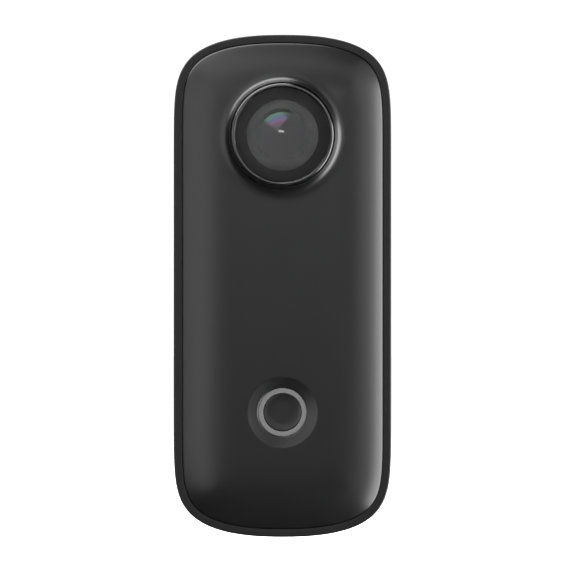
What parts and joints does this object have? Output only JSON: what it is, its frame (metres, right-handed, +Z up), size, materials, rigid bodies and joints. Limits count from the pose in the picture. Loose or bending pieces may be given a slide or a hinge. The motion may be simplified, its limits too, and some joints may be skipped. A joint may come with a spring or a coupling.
{
  "type": "action camera",
  "caption": "Thumb-sized upright action camera with rounded ends, a raised front lens, a front record button with a light ring, a side button, a sealed port door and a magnetic flat back.",
  "frame": {"origin": "centre of the flat magnetic back face", "axes": "+Z up along the camera's height with the lens near the top, -Y the way the lens looks, +X to the viewer's right when facing the lens"},
  "size_m": [0.0266, 0.0151, 0.0614],
  "materials": {
    "shell": "satin dark grey painted polycarbonate, fine even grain",
    "frame": "dark grey anodised-look frame, satin",
    "gloss_black": "polished black lens ring",
    "cap": "satin dark grey button cap",
    "rubber": "matt black silicone rubber",
    "light_guide": "milky grey light guide, unlit, satin",
    "glass": "clear cover glass with an anti-reflection coating",
    "optic_glass": "coated optical glass, green and violet reflections",
    "ink": "black screen-printed ink",
    "black_plastic": "moulded black glass-filled nylon",
    "board": "green solder mask",
    "chip": "black moulded chip package",
    "steel": "bright stainless sheet and screws",
    "nickel": "nickel plating",
    "foil": "crimped aluminium pouch foil",
    "foam": "black open-cell foam pad",
    "film": "amber polyimide flex",
    "ceramic": "off-white ceramic",
    "red_wire": "red wire insulation",
    "white_plastic": "off-white moulded nylon",
    "led": "pale yellow phosphor"
  },
  "bodies": {
    "camera_body": {"mid_frame": "frame", "front_cover": "shell", "rear_cover": "shell", "front_gasket": "rubber", "rear_gasket": "rubber", "upper_magnet": "nickel", "lower_magnet": "nickel", "lens_trim_ring": "gloss_black", "lens_window": "glass", "window_mask": "ink", "window_gasket": "rubber", "lens_barrel": "black_plastic", "lens_retaining_ring": "black_plastic", "front_lens_element": "optic_glass", "lens_spacer": "black_plastic", "middle_lens_element": "optic_glass", "rear_lens_element": "optic_glass", "lens_holder": "black_plastic", "infrared_filter": "glass", "image_sensor": "chip", "lens_holder_screw_left": "steel", "lens_holder_screw_right": "steel", "main_board": "board", "board_screw_1": "steel", "board_screw_2": "steel", "board_screw_3": "steel", "board_screw_4": "steel", "processor": "chip", "processor_shield": "steel", "memory_chip": "chip", "buzzer": "black_plastic", "wifi_antenna": "ceramic", "microphone": "nickel", "microphone_mesh": "steel", "usb_socket_shell": "steel", "usb_socket_tongue": "black_plastic", "card_socket_shell": "steel", "card_socket_base": "black_plastic", "battery": "foil", "battery_pad": "foam", "battery_lead_positive": "red_wire", "battery_lead_negative": "black_plastic", "battery_connector": "white_plastic", "button_light_ring": "light_guide", "light_ring_gasket": "rubber", "record_switch": "black_plastic", "button_board": "board", "button_board_flex": "film", "ring_led_left": "led", "button_board_screw_left": "steel", "ring_led_right": "led", "button_board_screw_right": "steel", "mode_switch": "black_plastic", "port_door_strap": "rubber"},
    "record_key": {"record_button": "cap", "record_switch_plunger": "white_plastic"},
    "mode_key": {"mode_button": "cap", "mode_switch_plunger": "white_plastic"},
    "door": {"port_door": "rubber", "port_door_seal": "rubber"}
  },
  "joints": [
    {"name": "record_press", "type": "slide", "parent": "camera_body", "child": "record_key", "axis": [0, 1, 0], "range_m": [0, 0.0004], "stiffness_N_per_m": 2500, "springref_m": -0.0002},
    {"name": "mode_press", "type": "slide", "parent": "camera_body", "child": "mode_key", "axis": [-1, 0, 0], "range_m": [0, 0.0003], "stiffness_N_per_m": 3000, "springref_m": -0.0002},
    {"name": "port_door_swing", "type": "hinge", "parent": "camera_body", "child": "door", "pos_m": [0, -0.0033, -0.0307], "axis": [1, 0, 0], "range_deg": [0, 110], "deforming": ["port_door_strap"]}
  ]
}
